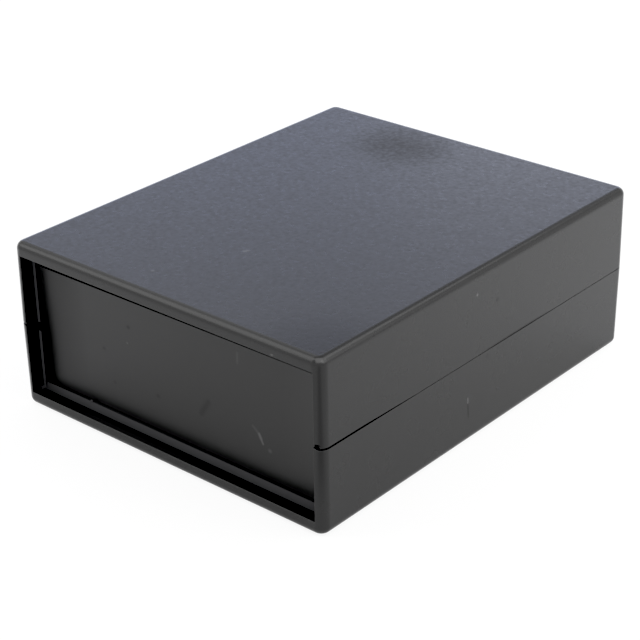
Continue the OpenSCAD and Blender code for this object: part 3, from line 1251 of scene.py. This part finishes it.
def add_softbox(light):
    """Adds one light, turned towards the case."""
    data = bpy.data.lights.new(light.name, "AREA")
    data.shape = "RECTANGLE"
    data.size, data.size_y = light.size
    data.color = light.colour
    data.energy = LIGHT_POWER * light.radiance * data.size * data.size_y
    lamp = bpy.data.objects.new(light.name, data)
    bpy.context.scene.collection.objects.link(lamp)
    direction = outward(math.radians(light.azimuth), math.radians(light.elevation))
    lamp.location = direction * light.distance
    lamp.rotation_euler = direction.to_track_quat("Z", "Y").to_euler()
    lamp.visible_camera = False
    lamp.visible_diffuse = light.lights_floor


def floor_finish(settings):
    """Pale matt floor that is clear from below, painted darker before the case as painted shade, with a
    dark strip of painted shadow that only reflections show.
    """
    material, tree, shader, place = new_material("Pale floor")
    across = (math.cos(settings.azimuth), math.sin(settings.azimuth), 0)
    ahead = outward(settings.azimuth, 0)
    aside = maths(tree, "ABSOLUTE", vectors(tree, "DOT_PRODUCT", place, across).outputs["Value"])
    reach = vectors(tree, "DOT_PRODUCT", place, ahead).outputs["Value"]
    # Dark strip before the case, seen only in reflections: painted shadow.
    in_strip = spread(tree, aside, STRIP_EDGE, STRIP_CORE, smooth=True)
    in_front = spread(tree, reach, STRIP_START, STRIP_FULL, smooth=True)
    pictured = node(tree, "ShaderNodeLightPath").outputs["Is Camera Ray"]
    mirrored = maths(tree, "SUBTRACT", 1.0, pictured)
    near = maths(tree, "MULTIPLY", maths(tree, "MULTIPLY", in_strip, in_front), mirrored)
    # The floor is painted darker before the case than behind it, as painted shade.
    along = node(tree, "ShaderNodeSeparateXYZ", {0: place}).outputs["Y"]
    level = spread(tree, along, -END_Y, END_Y, settings.floor_front_painted_shade, settings.floor_tone)
    tone = spread(tree, near, 0.0, 1.0, level, settings.floor_painted_shadow_tone)
    tree.links.new(tone, shader.inputs["Base Color"])
    shader.inputs["Roughness"].default_value = FLOOR_ROUGHNESS
    shader.inputs["Specular IOR Level"].default_value = 0.0
    shader.inputs["Emission Color"].default_value = (1, 1, 1, 1)
    shader.inputs["Emission Strength"].default_value = settings.floor_glow
    white = node(tree, "ShaderNodeEmission").outputs[0]
    share = maths(tree, "MULTIPLY", pictured, settings.floor_white)
    shown = node(tree, "ShaderNodeMixShader", {0: share, 1: shader.outputs[0], 2: white}).outputs[0]
    clear = node(tree, "ShaderNodeBsdfTransparent").outputs[0]
    below = node(tree, "ShaderNodeNewGeometry").outputs["Backfacing"]
    mixed = node(tree, "ShaderNodeMixShader", {0: below, 1: shown, 2: clear}).outputs[0]
    tree.links.new(mixed, tree.nodes["Material Output"].inputs["Surface"])
    return material


class ENCLOSURE_OT_stage(bpy.types.Operator):
    """Set up the floor, the lights and the camera"""

    bl_idname = "enclosure.stage"
    bl_label = "Stage"

    def execute(self, context):
        scene = context.scene
        settings = scene.enclosure_stage
        self.make_view(scene, settings)
        self.make_floor(scene, settings)
        for light in LIGHTS:
            add_softbox(light)
        self.make_camera(scene, settings)
        return {"FINISHED"}

    @staticmethod
    def make_view(scene, settings):
        """White surround, and a picture with the contrast of a product photograph."""
        world = bpy.data.worlds.new("White surround")
        world.use_nodes = True
        tree = world.node_tree
        direction = node(tree, "ShaderNodeTexCoord").outputs["Generated"]
        height = node(tree, "ShaderNodeSeparateXYZ", {0: direction}).outputs["Z"]
        strength = spread(
            tree, height, SURROUND_END, CEILING_START, settings.surround, settings.ceiling, smooth=True)
        background = tree.nodes["Background"]
        background.inputs["Color"].default_value = (1, 1, 1, 1)
        tree.links.new(strength, background.inputs["Strength"])
        scene.world = world
        view = scene.view_settings
        view.view_transform = "Standard"
        view.use_curve_mapping = True
        view.curve_mapping.black_level = (settings.black_level,) * 3
        view.curve_mapping.update()

    @staticmethod
    def make_floor(scene, settings):
        """Square floor just below the case."""
        shape = bmesh.new()
        bmesh.ops.create_grid(shape, size=settings.floor_size / 2)
        bmesh.ops.translate(shape, verts=shape.verts, vec=(0, 0, -settings.floor_gap))
        mesh = bpy.data.meshes.new("floor")
        shape.to_mesh(mesh)
        shape.free()
        mesh.materials.append(floor_finish(settings))
        floor = bpy.data.objects.new("floor", mesh)
        scene.collection.objects.link(floor)

    @staticmethod
    def make_camera(scene, settings):
        """Camera at the photograph's viewing angle."""
        data = bpy.data.cameras.new("Camera")
        data.lens = settings.lens
        data.sensor_width = SENSOR_WIDTH
        camera = bpy.data.objects.new("Camera", data)
        scene.collection.objects.link(camera)
        back = outward(settings.azimuth, settings.elevation)
        level_right = Vector((math.cos(settings.azimuth), math.sin(settings.azimuth), 0))
        level_up = back.cross(level_right)
        turn_cos, turn_sin = math.cos(settings.roll), math.sin(settings.roll)
        right = turn_cos * level_right + turn_sin * level_up
        up = turn_cos * level_up - turn_sin * level_right
        middle = (CAD_LOW + CAD_HIGH) / 2
        place = middle - settings.shift_right * right - settings.shift_up * up + settings.distance * back
        camera.matrix_world = Matrix((
            (right.x, up.x, back.x, place.x),
            (right.y, up.y, back.y, place.y),
            (right.z, up.z, back.z, place.z),
            (0, 0, 0, 1),
        ))
        scene.camera = camera


class ENCLOSURE_PT_sidebar(bpy.types.Panel):
    """Sizes, finishes and steps of the enclosure"""

    bl_idname = "ENCLOSURE_PT_sidebar"
    bl_label = "Enclosure"
    bl_space_type = "VIEW_3D"
    bl_region_type = "UI"
    bl_category = "Enclosure"

    def draw(self, context):
        scene = context.scene
        for operator, settings in (
            (ENCLOSURE_OT_shells, scene.enclosure_shells),
            (ENCLOSURE_OT_panels, scene.enclosure_panels),
            (ENCLOSURE_OT_screws, scene.enclosure_screws),
            (ENCLOSURE_OT_stage, scene.enclosure_stage),
        ):
            box = self.layout.box()
            for name in settings.__annotations__:
                box.prop(settings, name)
            box.operator(operator.bl_idname)


SETTINGS = {
    "enclosure_shells": ShellSettings,
    "enclosure_panels": PanelSettings,
    "enclosure_screws": ScrewSettings,
    "enclosure_stage": StageSettings,
}
OPERATORS = (ENCLOSURE_OT_shells, ENCLOSURE_OT_panels, ENCLOSURE_OT_screws, ENCLOSURE_OT_stage)
CLASSES = (*SETTINGS.values(), *OPERATORS, ENCLOSURE_PT_sidebar)


def register():
    """Registers the classes and hangs their settings on the scene."""
    for made in CLASSES:
        bpy.utils.register_class(made)
    for name, group in SETTINGS.items():
        setattr(bpy.types.Scene, name, PointerProperty(type=group))


def unregister():
    """Takes the settings off the scene and removes the classes."""
    for name in SETTINGS:
        delattr(bpy.types.Scene, name)
    for made in reversed(CLASSES):
        bpy.utils.unregister_class(made)


def main():
    register()
    bpy.ops.enclosure.shells()
    bpy.ops.enclosure.panels()
    bpy.ops.enclosure.screws()
    bpy.ops.enclosure.stage()


if __name__ == "__main__":
    main()
